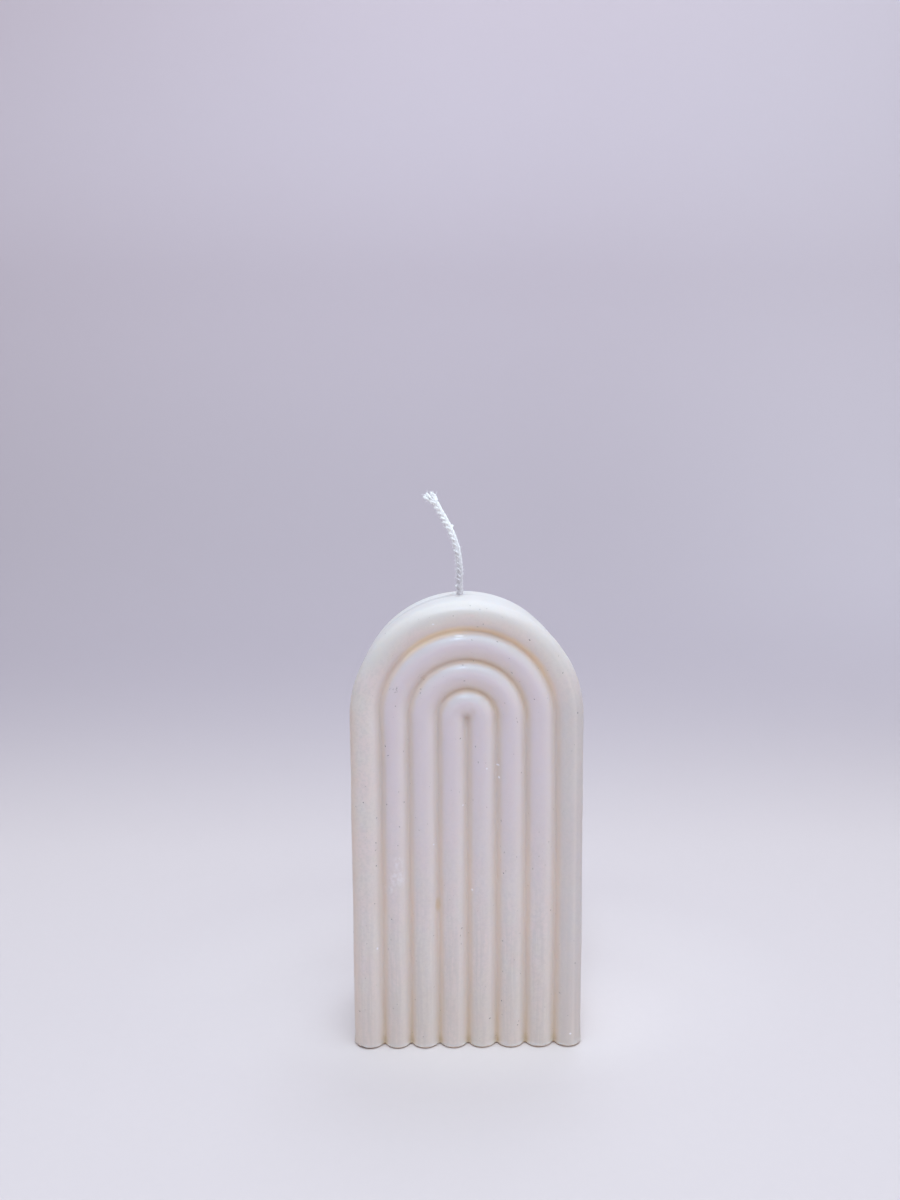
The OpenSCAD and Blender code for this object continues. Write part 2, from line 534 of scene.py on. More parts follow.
def half_profile():
    """The outline from the front's middle line round one edge to the back's, with the groove depths."""
    turn = (1 - np.cos(np.linspace(0, math.pi, POINTS_PER_RIB + 1))) / 2
    ribs = [PITCH * (rib + turn[:-1]) for rib in range(ARCHES - 1)]
    last = PITCH * (ARCHES - 1 + turn[: POINTS_PER_RIB // 2])
    r = np.concatenate(ribs + [last])
    depth = rib_depth(r)
    bend = np.linspace(0, math.pi / 2, CORNER_POINTS)
    corner_r = HALF_W - EDGE_R + EDGE_R * np.sin(bend)
    corner_depth = EDGE_R * (1 - np.cos(bend))
    front = np.stack([np.concatenate([r, corner_r]), np.concatenate([depth, corner_depth]) - HALF_T], 1)
    half_band = HALF_T - EDGE_R
    fine = np.arange(BAND_LOW, BAND_HIGH, BAND_STEP)
    low = np.linspace(-half_band, fine[0], BAND_COARSE)[1:-1]
    high = np.linspace(fine[-1], half_band, BAND_COARSE)[1:-1]
    band = np.concatenate([low, fine, high])
    side = np.stack([np.full(len(band), HALF_W), band], 1)
    profile = np.concatenate([front, side, front[::-1] * (1, -1)])
    face_groove = np.concatenate([depth, np.zeros(CORNER_POINTS)])
    groove = np.concatenate([face_groove, np.zeros(len(band)), face_groove[::-1]])
    return profile, groove, len(front), len(band)


def profile_normals(profile):
    """Outward directions of the outline in its own plane."""
    along = np.gradient(profile, axis=0)
    normals = np.stack([along[:, 1], -along[:, 0]], 1)
    normals[[0, -1]] = (0, -1), (0, 1)
    return normals / np.linalg.norm(normals, axis=1)[:, None]


def base_inset(z):
    """How far the legs' foot is drawn in at height z, with a faint lip above the rolled edge."""
    drop = np.clip(BASE_ROLL - z, 0, BASE_ROLL)
    roll = BASE_ROLL - np.sqrt(BASE_ROLL**2 - drop**2)
    return roll - LIP * hump(z, LIP_Z, LIP_HALF)


def arch_angles():
    """Angles from the left springing over the crown to the right, closer round the wick."""
    fine = CROWN_HALF / HALF_W
    flank = math.pi / 2 - fine
    side = np.linspace(0, flank, round(flank * HALF_W / ARCH_STEP), endpoint=False)
    crown = np.linspace(flank, flank + 2 * fine, round(2 * CROWN_HALF / CROWN_STEP) + 1)
    return math.pi - np.concatenate([side, crown, math.pi - side[::-1]])


def wax_grid():
    """The casting, two legs and an arch swept from one outline: points, faces, groove depths and reach."""
    profile, groove, front_count, band_count = half_profile()
    normals = profile_normals(profile)
    columns = len(profile)
    leg_z = np.concatenate([np.array(BASE_ROWS_MM) * MM, np.arange(LEG_START, SPRING_Z, LEG_STEP)])
    arch = arch_angles()
    rows = []
    for z in leg_z:
        foot = profile - normals * base_inset(z)
        rows.append(np.stack([-foot[:, 0], foot[:, 1], np.full(columns, z)], 1))
    for angle in arch:
        x = profile[:, 0] * math.cos(angle)
        rows.append(np.stack([x, profile[:, 1], SPRING_Z + profile[:, 0] * math.sin(angle)], 1))
    legs = len(leg_z)
    for row in rows[legs - 1 :: -1]:
        rows.append(row * (-1, 1, 1))
    points = np.array(rows)
    ids = np.arange(points.shape[0] * columns).reshape(-1, columns)
    for column in (0, columns - 1):
        ids[legs : legs + len(arch), column] = ids[legs, column]
        ids[legs + len(arch) :, column] = ids[:legs, column][::-1]
    faces = grid_faces(ids)
    cap_points, cap_faces = base_cap(points, ids, front_count, band_count)
    points = np.concatenate([points.reshape(-1, 3), cap_points])
    grooves = np.concatenate([np.tile(groove, len(rows)), np.zeros(len(cap_points))])
    reach = np.concatenate([np.tile(profile[:, 0], len(rows)), np.full(len(cap_points), HALF_W)])
    return points, faces + cap_faces, grooves / GROOVE_DEPTH, reach / HALF_W


def grid_faces(ids):
    """Faces between neighbouring rows of point numbers, without the corners that are shared."""
    faces = []
    for lower, upper in zip(ids[:-1], ids[1:]):
        for a, b, c, d in zip(lower[:-1], lower[1:], upper[1:], upper[:-1]):
            corners = tuple(dict.fromkeys((d, c, b, a)))
            if len(corners) > 2:
                faces.append(corners)
    return faces


def base_cap(points, ids, front_count, band_count):
    """The underside: strips from the front edge to the back edge, a little sunk in the middle."""
    columns = ids.shape[1]
    added = []
    faces = []
    middle = None
    for row in (0, -1):
        edge = points[row]
        band_y = edge[front_count - 1 : front_count + band_count + 1, 1]
        shares = (band_y[1:-1] - band_y[0]) / (band_y[-1] - band_y[0])
        strips = []
        for i in range(front_count):
            front, back = edge[i], edge[columns - 1 - i]
            inner = list(range(ids.size + len(added), ids.size + len(added) + band_count))
            if i == front_count - 1:
                inner = list(ids[row, front_count : front_count + band_count])
            elif i == 0 and middle:
                inner = middle
            else:
                fade = BASE_SINK * math.cos(math.pi / 2 * front[0] / HALF_W)
                for share in shares:
                    added.append(front + (back - front) * share + (0, 0, fade * math.sin(math.pi * share)))
            if i == 0:
                middle = inner
            strips.append([ids[row, i]] + inner + [ids[row, columns - 1 - i]])
        strips = np.array(strips)
        faces += grid_faces(strips if row == 0 else strips[::-1])
    return np.array(added), faces


def bump_at(points, centre_mm, size_mm, height_mm):
    """A smooth local rise of the surface, or a dent where the height is negative."""
    away = ((points - np.array(centre_mm) * MM) / (np.array(size_mm) * MM)) ** 2
    return height_mm * MM * np.exp(-away.sum(1))


def ripple(points, wave_mm):
    """Smooth noise between about -1 and 1 with the given wavelength."""
    return np.array([noise.noise(Vector(p) / (wave_mm * MM)) for p in points])


def edge_share(points):
    """1 on the outer edge of the candle, where the seam runs, and 0 on its faces."""
    x, _, z = points.T
    reach = np.where(z > SPRING_Z, np.hypot(x, z - SPRING_Z), np.abs(x))
    return ramp(reach, EDGE_START, EDGE_RISE)


def seam_relief(points):
    """The mould's seam over the edge: the front half falls towards it, most of all on the left."""
    x, y, _ = points.T
    left = np.interp(x, SEAM_LEFT, [0, 1, 1, 0])
    behind = 1 / (1 + np.exp(-(y - SEAM_Y) / SEAM_SHARP))
    fall = ramp(y, -SEAM_FALL, SEAM_Y + SEAM_FALL) * (1 - behind)
    bead = SEAM_BEAD * left * hump(y, SEAM_BEAD_Y, SEAM_BEAD_HALF)
    return (bead - (SEAM_DROP + SEAM_DROP_LEFT * left) * fall) * edge_share(points)


def wick_relief(points):
    """The wax drawn up round the wick on the crown."""
    x, y, z = points.T
    collar = COLLAR * hump(np.hypot(x - WICK_X, y), COLLAR_R, COLLAR_HALF)
    climb = ramp(x, CLIMB_FROM, CLIMB_RUN) ** 2 / (1 + np.exp((x - CLIMB_TO) / CLIMB_SHARP))
    lip = CLIMB * climb * hump(y, CLIMB_Y, CLIMB_HALF)
    on_crown = (z > WAX_H - CROWN_DEPTH) * edge_share(points)
    return on_crown * (collar + lip + bump_at(points, *DIMPLE_MM))


def casting_relief(points, grooves):
    """How far the cast surface stands off its true form at each point."""
    x, y, z = points.T
    relief = sum(height * MM * ripple(points, wave) for wave, height in RIPPLES_MM)
    relief += sum(bump_at(points, *dent) for dent in DENTS_MM)
    ragged = hump(x, RAGGED_X, RAGGED_HALF_W) * hump(z, RAGGED_Z, RAGGED_HALF_H) * (y < 0)
    relief += RAGGED_HEIGHT * ragged * grooves * ripple(points, RAGGED_WAVE_MM)
    relief += bump_at(points, *CHIP_MM) * (1 + ripple(points, CHIP_WAVE_MM))
    return relief + seam_relief(points) + wick_relief(points)


def settle(points):
    """Shifts the outer grooves on the front face a little sideways."""
    x, y, z = points.T
    front = ramp(-y, SHIFT_FRONT, SHIFT_FRONT_RISE) * ramp(-z, -SPRING_Z - SHIFT_FADE, 2 * SHIFT_FADE)
    left = SHIFT_LEFT * hump(x, -SHIFT_X, SHIFT_HALF)
    right = SHIFT_RIGHT * hump(x, SHIFT_X, SHIFT_HALF) * hump(z, SHIFT_RIGHT_Z, SHIFT_RIGHT_HALF)
    points[:, 0] += front * (left + right)


def stain_and_shade_groove(points, r):
    """Depth of the grooves, 0 to 1, moved a little right and down towards their shade, for staining and
    painted shade.
    """
    x, _, z = points.T
    outward = (STAIN_SHADE_RIGHT * x - STAIN_SHADE_DOWN * np.maximum(z - SPRING_Z, 0)) / np.maximum(r, MM)
    return rib_depth(r - outward) / GROOVE_DEPTH


def light_marks(points, normals, reach):
    """Painted light, 0 to 1: out of the wax, from the right on the ribs, and cool from above on inner rib
    tops.
    """
    x, y, z = points.T
    ribs = (y < 0) & (reach < RIBS_REACH)
    # The underside of the arches glows, and the outermost arch already from a little ahead of level
    outermost = (reach > INNER_REACH) * ramp(z, SPRING_Z, OUTER_RISE) * ramp(x, OUTER_X, OUTER_RUN)
    under = ramp(OUTER_LEAN * outermost - normals[:, 2], *UNDER_SLOPES)
    under *= (z > UNDER_START) * (reach < FACE_REACH)
    # Painted light from the right on the ribs' right-facing slopes
    right = RIGHT_SHARE * ramp(normals[:, 0], *RIGHT_SLOPES) * ribs
    # Upward slopes of the inner ribs get painted cool light from above
    return {"pale": np.maximum(under, right), "cool": ramp(normals[:, 2], *TOP_LIGHT_SLOPES) * ribs}


def make_wax():
    points, faces, grooves, reach = wax_grid()
    used = sorted({number for face in faces for number in face})
    place = {number: i for i, number in enumerate(used)}
    faces = [tuple(place[number] for number in face) for face in faces]
    points = points[used]
    grooves = grooves[used]
    reach = reach[used]
    stain_and_shade = stain_and_shade_groove(points, reach * HALF_W) * (grooves > 0)
    wax = mesh_object("wax", points, faces, {"groove": grooves, "stain_and_shade": stain_and_shade, "reach": reach})
    normals = np.empty(len(points) * 3, np.float32)
    wax.data.vertex_normals.foreach_get("vector", normals)
    normals = normals.reshape(-1, 3)
    for name, values in light_marks(points, normals, reach).items():
        layer = wax.data.attributes.new(name, "FLOAT", "POINT")
        layer.data.foreach_set("value", values.astype(np.float32))
    moved = points + normals * casting_relief(points, grooves)[:, None]
    settle(moved)
    moved[:, 2] = np.maximum(moved[:, 2], 0)
    wax.data.vertices.foreach_set("co", moved.astype(np.float32).ravel())
    wax.data.update()
    return wax


# Materials


def make_node(tree, kind, inputs=None, **settings):
    """Adds a node, sets its properties, and sets or joins its inputs."""
    node = tree.nodes.new(kind)
    for key, value in settings.items():
        setattr(node, key, value)
    for key, value in (inputs or {}).items():
        if isinstance(value, bpy.types.NodeSocket):
            tree.links.new(value, node.inputs[key])
        else:
            node.inputs[key].default_value = value
    return node


def combine(tree, operation, a, b=0.0):
    return make_node(tree, "ShaderNodeMath", {0: a, 1: b}, operation=operation).outputs[0]


def times(tree, first, *others):
    for other in others:
        first = combine(tree, "MULTIPLY", first, other)
    return first


def between(tree, value, low, high):
    """Rises smoothly from 0 at low to 1 at high."""
    inputs = {"Value": value, "From Min": low, "From Max": high}
    return make_node(tree, "ShaderNodeMapRange", inputs, interpolation_type="SMOOTHSTEP").outputs[0]


def along(tree, axis, low_mm, high_mm):
    """Rises smoothly from 0 to 1 between two places on an axis, given in millimetres."""
    return between(tree, axis, low_mm * MM, high_mm * MM)


def spread(tree, value, low, high):
    """Takes a value between 0 and 1 to one between low and high."""
    return make_node(tree, "ShaderNodeMapRange", {"Value": value, "To Min": low, "To Max": high}).outputs[0]


def mixed(tree, share, a, b):
    return make_node(tree, "ShaderNodeMix", {0: share, 6: a, 7: b}, data_type="RGBA").outputs[2]


def painted(tree, colour, layers):
    """Lays tints over a colour, one after another: each layer is a mask, its strength and a tint."""
    for mask, strength, tint in layers:
        colour = mixed(tree, times(tree, mask, strength), colour, tint)
    return colour


def cloud(tree, where, scale, detail=3.0):
    inputs = {"Vector": where, "Scale": scale, "Detail": detail, "Roughness": 0.55}
    return make_node(tree, "ShaderNodeTexNoise", inputs).outputs["Fac"]


def stretched(tree, where, x, y, z):
    inputs = {0: where, 1: (x, y, z)}
    return make_node(tree, "ShaderNodeVectorMath", inputs, operation="MULTIPLY").outputs[0]


def patch(tree, where, centre_mm, size_mm):
    """A soft spot: 1 at its centre, 0 at the given half sizes from it."""
    inputs = {0: where, 1: Vector(centre_mm) * MM}
    away = make_node(tree, "ShaderNodeVectorMath", inputs, operation="SUBTRACT").outputs[0]
    scaled = stretched(tree, away, *(1 / (s * MM) for s in size_mm))
    length = make_node(tree, "ShaderNodeVectorMath", {0: scaled}, operation="LENGTH").outputs["Value"]
    return between(tree, length, 1.0, 0.35)


def new_material(name):
    material = bpy.data.materials.new(name)
    material.use_nodes = True
    tree = material.node_tree
    tree.nodes.clear()
    return material, tree


def finish_material(tree, settings):
    shader = make_node(tree, "ShaderNodeBsdfPrincipled", settings)
    make_node(tree, "ShaderNodeOutputMaterial", {"Surface": shader.outputs[0]})


def srgb(red, green, blue):
    """A colour given by its screen values from 0 to 255."""
    return tuple(((v / 255 + 0.055) / 1.055) ** 2.4 for v in (red, green, blue)) + (1.0,)


WAX_ROSE = srgb(222, 208, 207)
WAX_GREY = srgb(218, 210, 207)
WAX_LILAC = srgb(216, 204, 210)
WAX_IVORY = srgb(213, 207, 205)
WAX_SHADE = srgb(204, 196, 196)
WAX_TAN = srgb(228, 209, 196)
WAX_WARM = srgb(207, 193, 182)
WAX_PALE = srgb(236, 225, 219)
WAX_COOL_TOP_LIGHT = srgb(200, 199, 203)
WAX_GLOW = srgb(244, 219, 186)
WAX_LIT = srgb(255, 236, 208)
WAX_GOLD = srgb(218, 190, 150)
WAX_WEDGE = srgb(190, 164, 126)
WAX_RIM = srgb(178, 142, 106)
WAX_BLOOM_AND_HIGHLIGHT = srgb(240, 236, 242)
WAX_SEAM = srgb(158, 150, 164)
WAX_SPECK = srgb(60, 55, 62)
# Scales of the noise in the wax, from broad clouds to fine grain
SPECK_CLOUDS = 55
GLOSS_CLOUDS = 60
STAIN_SHADE_CLOUDS = 70
IVORY_CLOUDS = 120
RIM_CLOUDS = 300
FINE_GRAIN = 900
MOTTLE_GRAIN = 1300
STREAK_GRAIN = 1500
STREAK_SQUEEZE = 0.05
# Places and half sizes: amber staining and painted warm shade in grooves right of the arches, painted light
# glowing under the outermost arch and in its groove on the left, a golden spot in a groove, the seam's
# painted shade
AMBER_MM = ((9, -13.5, 97), (17, 9, 15))
GLOW_MM = ((7, -14, 106), (27, 9, 22))
LIT_MM = ((-9, -14, 108), (13, 9, 9))
GOLD_SPOT_MM = ((-7.7, -13.6, 38.6), (1.0, 2.5, 2.6))
SEAM_LINE_MM = ((-8, SEAM_Y / MM, 112), (18, 0.5, 60))
# White nicks on the front, and one painted highlight on the second arch, as places and half sizes
NICKS_AND_HIGHLIGHT_MM = [
    ((7.9, -14.0, 75.7), (0.55, 4, 0.35)),
    ((8.2, -14.0, 72.5), (0.35, 4, 0.45)),
    ((5.0, -15.0, 75.2), (0.3, 4, 0.35)),
    ((-1.1, -13.7, 65.4), (0.35, 4, 0.35)),
    ((1.2, -13.7, 42.9), (0.35, 4, 0.45)),
    ((-23.5, -14.0, 27.3), (0.35, 4, 0.5)),
    ((26.8, -14.8, 3.7), (0.45, 4, 0.35)),
    ((-8.4, -14.5, 112.3), (0.45, 4, 0.3)),
    # A painted highlight on the upper slope of the second arch
    ((-1.9, -14.6, 109.2), (1.7, 4, 0.32)),
    ((-8.7, -14.0, 55.1), (0.3, 4, 0.3)),
]
# Frosted spots on the left, and knots of fine pinholes above them
FROST_MM = [
    ((-17.6, -15, 50.6), (1.8, 4, 2.6)),
    ((-18.0, -15, 46.4), (3.0, 4, 3.4)),
    ((-20.3, -15, 43.1), (1.8, 4, 2.0)),
]
FROST_SHARE = 0.4
PINHOLES_MM = [
    ((-11.6, -14.6, 98.6), (1.1, 4, 1.3)),
    ((-18.0, -14.8, 95.6), (1.3, 4, 1.8)),
    ((-11.9, -14.8, 95.3), (0.8, 4, 1.2)),
]
# Scale and amount of the noise that makes pinholes uneven; then, for scattered and for fine ones, cells
# per metre, share of cells with a hole, and smallest and largest size in a cell
SPECK_WARP = (1800.0, 0.9 * MM)
SPECK_DOTS = (480.0, 0.8, 0.05, 0.15)
PINHOLE_DOTS = (2200.0, 0.4, 0.4, 0.65)


def patches(tree, where, spots):
    """All the soft spots of a list."""
    shade = patch(tree, where, *spots[0])
    for centre, size in spots[1:]:
        shade = combine(tree, "MAXIMUM", shade, patch(tree, where, centre, size))
    return shade


def dots(tree, where, scale, share, smallest, largest):
    """Round dots in a share of the cells of a random pattern, with sizes in parts of a cell."""
    cells = make_node(tree, "ShaderNodeTexVoronoi", {"Vector": where, "Scale": scale})
    picks = make_node(tree, "ShaderNodeSeparateColor", {0: cells.outputs["Color"]})
    chosen = combine(tree, "LESS_THAN", picks.outputs[0], share)
    size = spread(tree, picks.outputs[1], smallest, largest)
    dot = between(tree, combine(tree, "DIVIDE", cells.outputs["Distance"], size), 1.0, 0.4)
    return times(tree, dot, chosen, spread(tree, picks.outputs[2], 0.35, 1.0))


def warped(tree, where, scale, amount):
    """Places shifted about by noise, so that round marks come out uneven."""
    noise_node = make_node(tree, "ShaderNodeTexNoise", {"Vector": where, "Scale": scale})
    inputs = {0: noise_node.outputs["Color"], 1: (0.5, 0.5, 0.5)}
    shift = make_node(tree, "ShaderNodeVectorMath", inputs, operation="SUBTRACT").outputs[0]
    shift = stretched(tree, shift, amount, amount, amount)
    return make_node(tree, "ShaderNodeVectorMath", {0: where, 1: shift}, operation="ADD").outputs[0]


def wax_specks(tree, where):
    """Scattered uneven pinholes in some places, with a few knots of finer ones."""
    uneven = warped(tree, where, *SPECK_WARP)
    scattered = dots(tree, uneven, *SPECK_DOTS)
    scattered = times(tree, scattered, between(tree, cloud(tree, where, SPECK_CLOUDS), 0.34, 0.55))
    fine = times(tree, dots(tree, uneven, *PINHOLE_DOTS), patches(tree, where, PINHOLES_MM))
    return combine(tree, "MAXIMUM", scattered, fine)


def wax_ground(tree, where, marks):
    """Layers of mottled ivory: streaked feet, lilac inner arches with painted cool top light, a paler outer
    arch.
    """
    mottle = between(tree, cloud(tree, where, MOTTLE_GRAIN, 4.0), 0.4, 0.65)
    upright = stretched(tree, where, 1, 1, STREAK_SQUEEZE)
    streaks = between(tree, cloud(tree, upright, STREAK_GRAIN), 0.42, 0.62)
    lower_legs = along(tree, marks["z"], 60, 20)
    lilac = times(tree, between(tree, marks["reach"], 0.85, 0.7), along(tree, marks["z"], 20, 85))
    # Painted cool light from above on the upward slopes of the inner ribs
    cool = times(tree, marks["cool"], spread(tree, marks["groove"], 1.0, 0.3))
    outer_arch = times(tree, between(tree, marks["reach"], 0.82, 0.92), along(tree, marks["z"], 95, 105))
    right_edge = times(tree, along(tree, marks["x"], 21, 26), along(tree, marks["z"], 105, 90))
    return [
        (mottle, 0.45, WAX_SHADE),
        (times(tree, streaks, lower_legs), 0.5, WAX_SHADE),
        (lilac, 1.0, WAX_LILAC),
        (cool, 1.0, WAX_COOL_TOP_LIGHT),
        (outer_arch, 0.8, WAX_IVORY),
        (right_edge, 0.6, WAX_SHADE),
    ]


def wax_stains_and_shade(tree, where, marks):
    """Layers of staining and painted shade: tan and amber in the grooves, grey on the upper legs, gold at
    the foot.
    """
    groove, stain_and_shade, z = marks["groove"], marks["stain_and_shade"], marks["z"]
    stain_shade_edge = spread(tree, along(tree, z, 85, 100), 0.24, 0.32)
    uneven = spread(tree, cloud(tree, where, STAIN_SHADE_CLOUDS), 0.6, 1.0)
    # Tan in the grooves: staining, and painted warm shade
    tan = times(tree, between(tree, stain_and_shade, stain_shade_edge, 0.95), uneven)
    upper_legs = times(tree, along(tree, z, 45, 70), along(tree, z, 100, 85))
    # Painted grey shade in the grooves of the upper legs
    painted_groove_shade = times(tree, between(tree, stain_and_shade, 0.2, 0.75), upper_legs)
    # Amber in the grooves right of the arches: staining, and painted warm shade
    amber = times(tree, patch(tree, where, *AMBER_MM), between(tree, groove, 0.5, 0.95))
    foot = times(tree, along(tree, z, 20, 0), between(tree, groove, 0.6, 0.98))
    wedge = times(tree, along(tree, z, 3.6, 0.8), between(tree, groove, 0.4, 0.95))
    # A brown rim at the very foot: dirt, and painted contact shade under the rolled edge
    rim = times(tree, along(tree, z, 0.6, 0.3), spread(tree, cloud(tree, where, RIM_CLOUDS), 0.5, 1.0))
    # Painted shade on the front's left edge, in tan
    corner = times(tree, along(tree, marks["x"], -27, -29.8), along(tree, marks["y"], -4, -11))
    return [
        (tan, 1.0, WAX_TAN),
        (painted_groove_shade, 0.32, WAX_SHADE),
        (amber, 0.38, WAX_GOLD),
        (along(tree, z, 35, 0), 0.35, WAX_WARM),
        (foot, 0.36, WAX_GOLD),
        (wedge, 0.5, WAX_WEDGE),
        (rim, 1.0, WAX_RIM),
        (times(tree, corner, along(tree, z, 100, 85)), 0.6, WAX_TAN),
    ]


def wax_light(tree, where, marks):
    """Layers of painted light: through the wax under arches, from the right on the ribs, warm at the
    outermost arch.
    """
    groove, reach = marks["groove"], marks["reach"]
    under_edge = times(tree, between(tree, reach, 0.735, 0.755), between(tree, reach, 0.81, 0.76))
    outer_groove = times(tree, between(tree, reach, 0.68, 0.72), between(tree, groove, 0.5, 0.95))
    return [
        (marks["pale"], 0.6, WAX_PALE),
        (times(tree, patch(tree, where, *GLOW_MM), under_edge), 0.7, WAX_GLOW),
        (times(tree, patch(tree, where, *LIT_MM), outer_groove), 0.5, WAX_LIT),
    ]


def wax_lines(tree, where, marks):
    """Layers of a golden spot in a groove, and painted shade along the step of the seam."""
    # The seam's dark line is painted shade of its step
    seam = times(tree, patch(tree, where, *SEAM_LINE_MM), between(tree, marks["reach"], 0.98, 0.99))
    return [(patch(tree, where, *GOLD_SPOT_MM), 0.45, WAX_GOLD), (seam, 0.3, WAX_SEAM)]


def wax_bloom_and_highlight(tree, where):
    """White nicks, a painted highlight on the second arch, and frosted spots."""
    grain = between(tree, cloud(tree, where, FINE_GRAIN, 4.0), 0.42, 0.65)
    frost = times(tree, patches(tree, where, FROST_MM), grain, FROST_SHARE)
    return combine(tree, "MAXIMUM", frost, patches(tree, where, NICKS_AND_HIGHLIGHT_MM))


def wax_material():
    material, tree = new_material("wax")
    where = make_node(tree, "ShaderNodeTexCoord").outputs["Object"]
    place = make_node(tree, "ShaderNodeSeparateXYZ", {0: where}).outputs
    marks = {"x": place["X"], "y": place["Y"], "z": place["Z"]}
    for name in ("groove", "stain_and_shade", "reach", "pale", "cool"):
        marks[name] = make_node(tree, "ShaderNodeAttribute", attribute_name=name).outputs["Fac"]
    bloom_and_highlight = wax_bloom_and_highlight(tree, where)
    specks = wax_specks(tree, where)
    ivory = mixed(tree, between(tree, cloud(tree, where, IVORY_CLOUDS), 0.35, 0.65), WAX_ROSE, WAX_GREY)
    layers = wax_ground(tree, where, marks) + wax_stains_and_shade(tree, where, marks)
    layers += wax_light(tree, where, marks) + wax_lines(tree, where, marks)
    # White nicks, frost and a painted highlight, then pinholes
    layers += [(bloom_and_highlight, 1.0, WAX_BLOOM_AND_HIGHLIGHT), (specks, 0.75, WAX_SPECK)]
    # The outer edge and frosted places are duller than the ribs, which have a thin gloss
    dull = combine(tree, "ADD", times(tree, cloud(tree, where, GLOSS_CLOUDS), 0.4), times(tree, bloom_and_highlight, 0.4))
    dull = combine(tree, "ADD", dull, times(tree, between(tree, marks["reach"], 0.95, 0.99), 1.4))
    gloss = spread(tree, between(tree, marks["reach"], 0.98, 0.94), 0.0, 0.3)
    height = combine(tree, "SUBTRACT", cloud(tree, where, FINE_GRAIN, 4.0), times(tree, specks, 2.0))
    bump = make_node(tree, "ShaderNodeBump", {"Height": height, "Strength": 0.45, "Distance": 0.1 * MM})
    finish_material(
        tree,
        {
            "Base Color": painted(tree, ivory, layers),
            "Roughness": spread(tree, dull, 0.3, 0.55),
            "Normal": bump.outputs[0],
            "Subsurface Weight": 0.45,
            "Subsurface Radius": (1.0, 0.75, 0.55),
            "Subsurface Scale": 3 * MM,
            "IOR": 1.45,
            "Specular IOR Level": 0.36,
            "Coat Weight": gloss,
            "Coat Roughness": 0.08,
        },
    )
    return material


COTTON_DRY = (srgb(247, 248, 252), srgb(255, 255, 255))
COTTON_WAXED = (srgb(182, 175, 182), srgb(212, 205, 212))
# Scales of the noise in the cotton
DRY_GRAIN = 1500
WAXED_GRAIN = 1400
FIBRE_GRAIN = 4000


def wick_material():
    material, tree = new_material("cotton")
    where = make_node(tree, "ShaderNodeTexCoord").outputs["Object"]
    soak = make_node(tree, "ShaderNodeAttribute", attribute_name="soak").outputs["Fac"]
    dry = mixed(tree, cloud(tree, where, DRY_GRAIN), *COTTON_DRY)
    waxed = mixed(tree, between(tree, cloud(tree, where, WAXED_GRAIN), 0.35, 0.65), *COTTON_WAXED)
    height = cloud(tree, where, FIBRE_GRAIN)
    bump = make_node(tree, "ShaderNodeBump", {"Height": height, "Strength": 0.3, "Distance": 0.05 * MM})
    finish_material(
        tree,
        {
            "Base Color": mixed(tree, soak, dry, waxed),
            "Roughness": spread(tree, soak, 0.95, 0.45),
            "Normal": bump.outputs[0],
            "Sheen Weight": 0.8,
            "Sheen Roughness": 0.6,
        },
    )
    return material


# Stage and light

# The paper sweep, in metres: front edge, end of the floor, radius of the bend, top and half width
PAPER_FRONT = -2.5
PAPER_FLOOR_END = 0.15
PAPER_BEND_R = 0.32
PAPER_TOP = 1.8
PAPER_HALF_W = 2.5
PAPER_BEND_POINTS = 32
PAPER_FLOOR = srgb(213, 202, 203)
PAPER_BEND_SHADE = srgb(178, 167, 176)
PAPER_WALL = srgb(198, 186, 196)
PAPER_TOP_SHADE = srgb(186, 170, 178)
PAPER_RIGHT_LIGHT = srgb(214, 205, 214)
PAPER_LIGHT_POOL = srgb(238, 229, 227)
PAPER_LIGHT_GLOW = srgb(252, 244, 243)
PAPER_GRAIN = srgb(170, 164, 170)
PAPER_GRAIN_SCALE = 400
# Places and half sizes of painted light round the candle, which lightens its shadow
LIGHT_POOL_MM = ((0, 25, 0), (110, 75, 60))
LIGHT_GLOW_MM = ((2, 4, 0), (66, 40, 30))


def paper_material():
    """Pale paper: painted shade at the bend and wall top, painted light up the wall, to the right and by
    the candle.
    """
    material, tree = new_material("paper")
    where = make_node(tree, "ShaderNodeTexCoord").outputs["Object"]
    place = make_node(tree, "ShaderNodeSeparateXYZ", {0: where}).outputs
    # Painted shade greys the floor towards the bend; the layers paint light up the wall, right and round
    # the candle
    colour = mixed(tree, along(tree, place["Y"], 110, 340), PAPER_FLOOR, PAPER_BEND_SHADE)
    right = times(tree, along(tree, place["X"], 50, 400), along(tree, place["Y"], 200, 400))
    layers = [
        (along(tree, place["Z"], 100, 400), 1.0, PAPER_WALL),
        (along(tree, place["Z"], 400, 560), 0.5, PAPER_TOP_SHADE),
        (right, 0.5, PAPER_RIGHT_LIGHT),
        (patch(tree, where, *LIGHT_POOL_MM), 0.35, PAPER_LIGHT_POOL),
        (patch(tree, where, *LIGHT_GLOW_MM), 0.3, PAPER_LIGHT_GLOW),
        (cloud(tree, where, PAPER_GRAIN_SCALE), 0.05, PAPER_GRAIN),
    ]
    finish_material(tree, {"Base Color": painted(tree, colour, layers), "Roughness": 0.8})
    return material


def make_stage():
    """A pale paper sweep: floor in front, curving up into a lilac-grey wall behind."""
    line = [(PAPER_FRONT, 0.0)]
    for angle in np.linspace(0, math.pi / 2, PAPER_BEND_POINTS):
        y = PAPER_FLOOR_END + PAPER_BEND_R * math.sin(angle)
        line.append((y, PAPER_BEND_R * (1 - math.cos(angle))))
    line.append((PAPER_FLOOR_END + PAPER_BEND_R, PAPER_TOP))
    points = [(x, y, z) for y, z in line for x in (-PAPER_HALF_W, PAPER_HALF_W)]
    faces = [(2 * i, 2 * i + 1, 2 * i + 3, 2 * i + 2) for i in range(len(line) - 1)]
    sweep = mesh_object("sweep", points, faces)
    sweep.data.materials.append(paper_material())


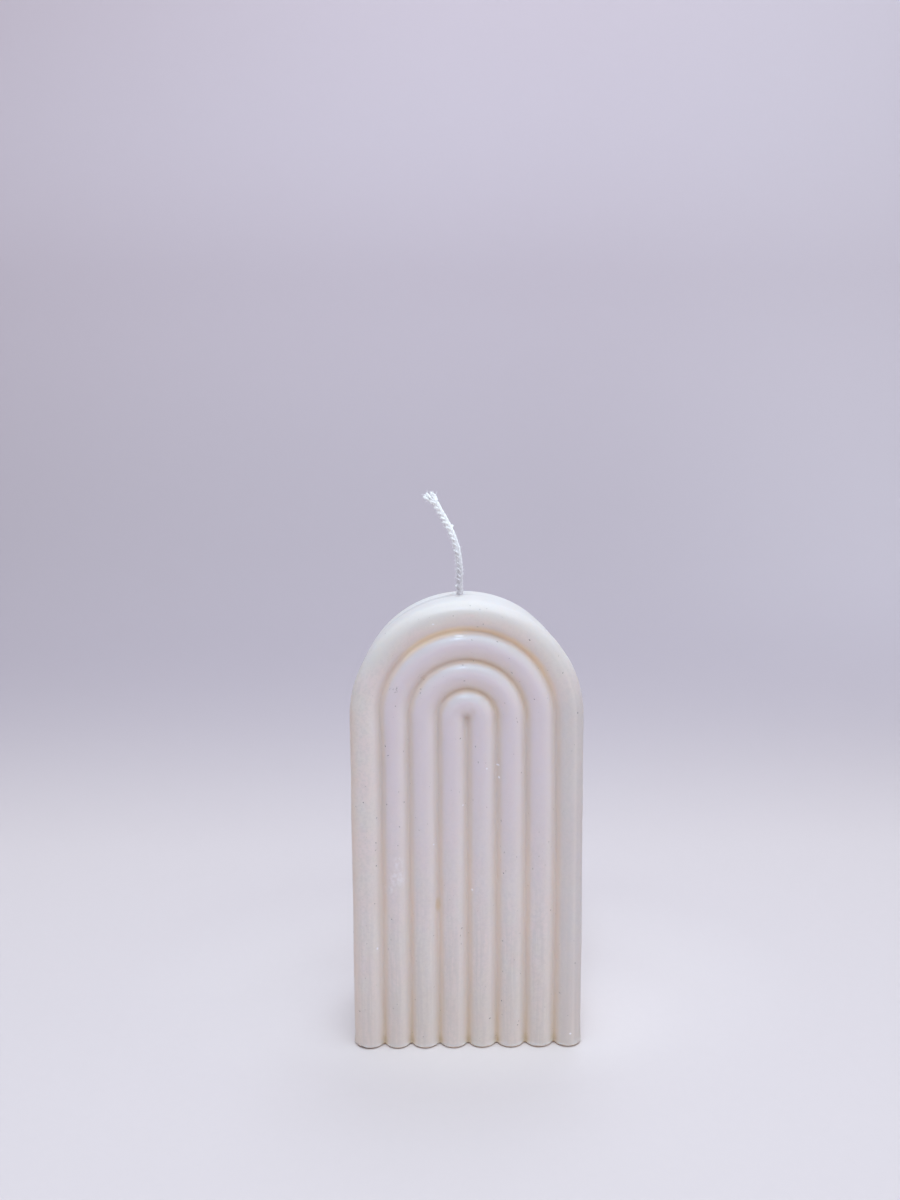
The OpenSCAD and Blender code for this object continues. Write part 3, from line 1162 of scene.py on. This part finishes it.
# Lamps: name, place and target in metres, width, power in watts, and colour
LAMPS = [
    ("softbox", (0.03, -0.22, 0.93), (0, 0, 0.05), 1.1, 6.75, (0.83, 1.04, 1.18)),
    ("ceiling", (0.07, 0.24, 0.85), (0, 0, 0.03), 0.3, 0.78, (0.9, 1.0, 1.08)),
    ("lamp", (-0.05, -0.38, 0.64), (0, 0, 0.1), 0.1, 0.5, (0.8, 1.0, 1.25)),
]
# The room: where it is brightest, its strength away from there and there, and its colour
ROOM_BRIGHTEST = Vector((0.8, -0.55, 0.2)).normalized()
ROOM_STRENGTHS = (0.24, 0.69)
ROOM_COLOUR = (1.0, 0.97, 0.96, 1.0)


def add_area(name, at, target, size, power, colour):
    light = bpy.data.lights.new(name, "AREA")
    light.shape = "DISK"
    light.size = size
    light.energy = power
    light.color = colour
    lamp = bpy.data.objects.new(name, light)
    lamp.location = at
    lamp.rotation_euler = (Vector(target) - Vector(at)).to_track_quat("-Z", "Y").to_euler()
    bpy.context.collection.objects.link(lamp)


def make_light():
    """A wide softbox overhead, a smaller lamp behind it, a cool one for gloss, and a pale room."""
    for lamp in LAMPS:
        add_area(*lamp)
    world = bpy.data.worlds.new("room")
    world.use_nodes = True
    tree = world.node_tree
    where = make_node(tree, "ShaderNodeTexCoord").outputs["Generated"]
    inputs = {0: where, 1: ROOM_BRIGHTEST}
    toward = make_node(tree, "ShaderNodeVectorMath", inputs, operation="DOT_PRODUCT").outputs["Value"]
    inputs = {"Value": toward, "From Min": -1.0, "To Min": ROOM_STRENGTHS[0], "To Max": ROOM_STRENGTHS[1]}
    strength = make_node(tree, "ShaderNodeMapRange", inputs).outputs[0]
    tree.nodes["Background"].inputs["Color"].default_value = ROOM_COLOUR
    tree.links.new(strength, tree.nodes["Background"].inputs["Strength"])
    bpy.context.scene.world = world


# Assembly

scene = bpy.context.scene
scene.view_settings.view_transform = "Standard"

make_camera()
wick, wick_points = make_wick()
wick_core = make_wick_core()
wax = make_wax()

cotton = wick_material()
wick.data.materials.append(cotton)
wick_core.data.materials.append(cotton)
wax.data.materials.append(wax_material())

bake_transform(wick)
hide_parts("wick_tail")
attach(wick_core, "candle")
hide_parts("wick_stem")
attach(wax, "candle")
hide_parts("wax_body")

make_stage()
make_light()
